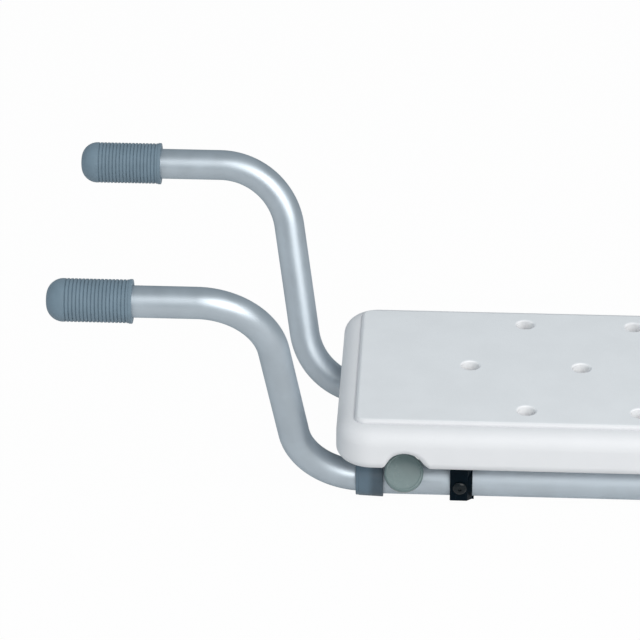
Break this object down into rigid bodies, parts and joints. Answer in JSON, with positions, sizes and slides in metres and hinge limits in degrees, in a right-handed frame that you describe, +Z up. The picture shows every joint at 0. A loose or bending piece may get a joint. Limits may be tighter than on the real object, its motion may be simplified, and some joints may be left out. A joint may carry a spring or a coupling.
{
  "type": "bath bench",
  "caption": "Suspended bath bench: a drained white seat board on two cross tubes, with bent sliding arms whose rubber grips rest on the rims of the bath.",
  "frame": {"origin": "bottom centre of the bench's box: under the middle of the seat, on the floor that the collars stand on", "axes": "+X along the bench, +Y to its back, +Z up"},
  "size_m": [0.8522, 0.2874, 0.2195],
  "materials": {
    "seat_plastic": "satin moulded plastic with a fine-grained panel",
    "aluminium_tube": "satin anodised",
    "grip_rubber": "soft matt",
    "collar_plastic": "satin",
    "knob_plastic": "satin",
    "clip_plastic": "satin black",
    "plug_plastic": "satin",
    "pad_plastic": "satin",
    "screw_steel": "plated",
    "bolt_black": "black finished",
    "insert_brass": "plain"
  },
  "bodies": {
    "bench": {"seat_board": "seat_plastic", "seat_inserts": "insert_brass", "seat_screws": "screw_steel", "front_tube": "aluminium_tube", "rear_tube": "aluminium_tube", "thread_bosses": "screw_steel", "clip_bolts": "bolt_black", "clip_nuts": "screw_steel", "left_front_collar": "collar_plastic", "left_front_seat_clip": "clip_plastic", "left_rear_collar": "collar_plastic", "left_rear_seat_clip": "clip_plastic", "right_front_collar": "collar_plastic", "right_front_seat_clip": "clip_plastic", "right_rear_collar": "collar_plastic", "right_rear_seat_clip": "clip_plastic"},
    "left_front_slider": {"left_front_slide_plug": "plug_plastic"},
    "left_front_arm": {"left_front_arm_tube": "aluminium_tube", "left_front_grip": "grip_rubber"},
    "left_front_clamp": {"left_front_clamp_pad": "pad_plastic"},
    "left_front_knob": {"left_front_clamp_screw": "screw_steel", "left_front_clamp_knob": "knob_plastic"},
    "left_rear_slider": {"left_rear_slide_plug": "plug_plastic"},
    "left_rear_arm": {"left_rear_arm_tube": "aluminium_tube", "left_rear_grip": "grip_rubber"},
    "left_rear_clamp": {"left_rear_clamp_pad": "pad_plastic"},
    "left_rear_knob": {"left_rear_clamp_screw": "screw_steel", "left_rear_clamp_knob": "knob_plastic"},
    "right_front_slider": {"right_front_slide_plug": "plug_plastic"},
    "right_front_arm": {"right_front_arm_tube": "aluminium_tube", "right_front_grip": "grip_rubber"},
    "right_front_clamp": {"right_front_clamp_pad": "pad_plastic"},
    "right_front_knob": {"right_front_clamp_screw": "screw_steel", "right_front_clamp_knob": "knob_plastic"},
    "right_rear_slider": {"right_rear_slide_plug": "plug_plastic"},
    "right_rear_arm": {"right_rear_arm_tube": "aluminium_tube", "right_rear_grip": "grip_rubber"},
    "right_rear_clamp": {"right_rear_clamp_pad": "pad_plastic"},
    "right_rear_knob": {"right_rear_clamp_screw": "screw_steel", "right_rear_clamp_knob": "knob_plastic"}
  },
  "joints": [
    {"name": "left_front_arm_slide", "type": "slide", "parent": "bench", "child": "left_front_slider", "axis": [-1, 0, 0], "range_m": [0, 0.03]},
    {"name": "left_front_arm_swivel", "type": "hinge", "parent": "left_front_slider", "child": "left_front_arm", "pos_m": [-0.12, -0.072, 0.0168], "axis": [1, 0, 0], "range_deg": [-16.3, 68.7]},
    {"name": "left_front_clamp_slide", "type": "slide", "parent": "bench", "child": "left_front_clamp", "axis": [0, -0.788, 0.6157], "range_m": [0, 0.0015]},
    {"name": "left_front_knob_turn", "type": "hinge", "parent": "left_front_clamp", "child": "left_front_knob", "pos_m": [-0.1444, -0.072, 0.0168], "axis": [0, -0.788, 0.6157], "range_deg": [0, 540]},
    {"name": "left_rear_arm_slide", "type": "slide", "parent": "bench", "child": "left_rear_slider", "axis": [-1, 0, 0], "range_m": [0, 0.03]},
    {"name": "left_rear_arm_swivel", "type": "hinge", "parent": "left_rear_slider", "child": "left_rear_arm", "pos_m": [-0.12, 0.072, 0.0168], "axis": [-1, 0, 0], "range_deg": [-16.3, 68.7]},
    {"name": "left_rear_clamp_slide", "type": "slide", "parent": "bench", "child": "left_rear_clamp", "axis": [0, 0.788, 0.6157], "range_m": [0, 0.0015]},
    {"name": "left_rear_knob_turn", "type": "hinge", "parent": "left_rear_clamp", "child": "left_rear_knob", "pos_m": [-0.1444, 0.072, 0.0168], "axis": [0, 0.788, 0.6157], "range_deg": [0, 540]},
    {"name": "right_front_arm_slide", "type": "slide", "parent": "bench", "child": "right_front_slider", "axis": [1, 0, 0], "range_m": [0, 0.03]},
    {"name": "right_front_arm_swivel", "type": "hinge", "parent": "right_front_slider", "child": "right_front_arm", "pos_m": [0.12, -0.072, 0.0168], "axis": [1, 0, 0], "range_deg": [-16.3, 68.7]},
    {"name": "right_front_clamp_slide", "type": "slide", "parent": "bench", "child": "right_front_clamp", "axis": [0, -0.788, 0.6157], "range_m": [0, 0.0015]},
    {"name": "right_front_knob_turn", "type": "hinge", "parent": "right_front_clamp", "child": "right_front_knob", "pos_m": [0.1444, -0.072, 0.0168], "axis": [0, -0.788, 0.6157], "range_deg": [0, 540]},
    {"name": "right_rear_arm_slide", "type": "slide", "parent": "bench", "child": "right_rear_slider", "axis": [1, 0, 0], "range_m": [0, 0.03]},
    {"name": "right_rear_arm_swivel", "type": "hinge", "parent": "right_rear_slider", "child": "right_rear_arm", "pos_m": [0.12, 0.072, 0.0168], "axis": [-1, 0, 0], "range_deg": [-16.3, 68.7]},
    {"name": "right_rear_clamp_slide", "type": "slide", "parent": "bench", "child": "right_rear_clamp", "axis": [0, 0.788, 0.6157], "range_m": [0, 0.0015]},
    {"name": "right_rear_knob_turn", "type": "hinge", "parent": "right_rear_clamp", "child": "right_rear_knob", "pos_m": [0.1444, 0.072, 0.0168], "axis": [0, 0.788, 0.6157], "range_deg": [0, 540]}
  ],
  "couplings": [
    {"joint": "left_front_knob_turn", "follows": "left_front_clamp_slide", "rad_per_m": 6280},
    {"joint": "left_rear_knob_turn", "follows": "left_rear_clamp_slide", "rad_per_m": 6280},
    {"joint": "right_front_knob_turn", "follows": "right_front_clamp_slide", "rad_per_m": 6280},
    {"joint": "right_rear_knob_turn", "follows": "right_rear_clamp_slide", "rad_per_m": 6280}
  ]
}
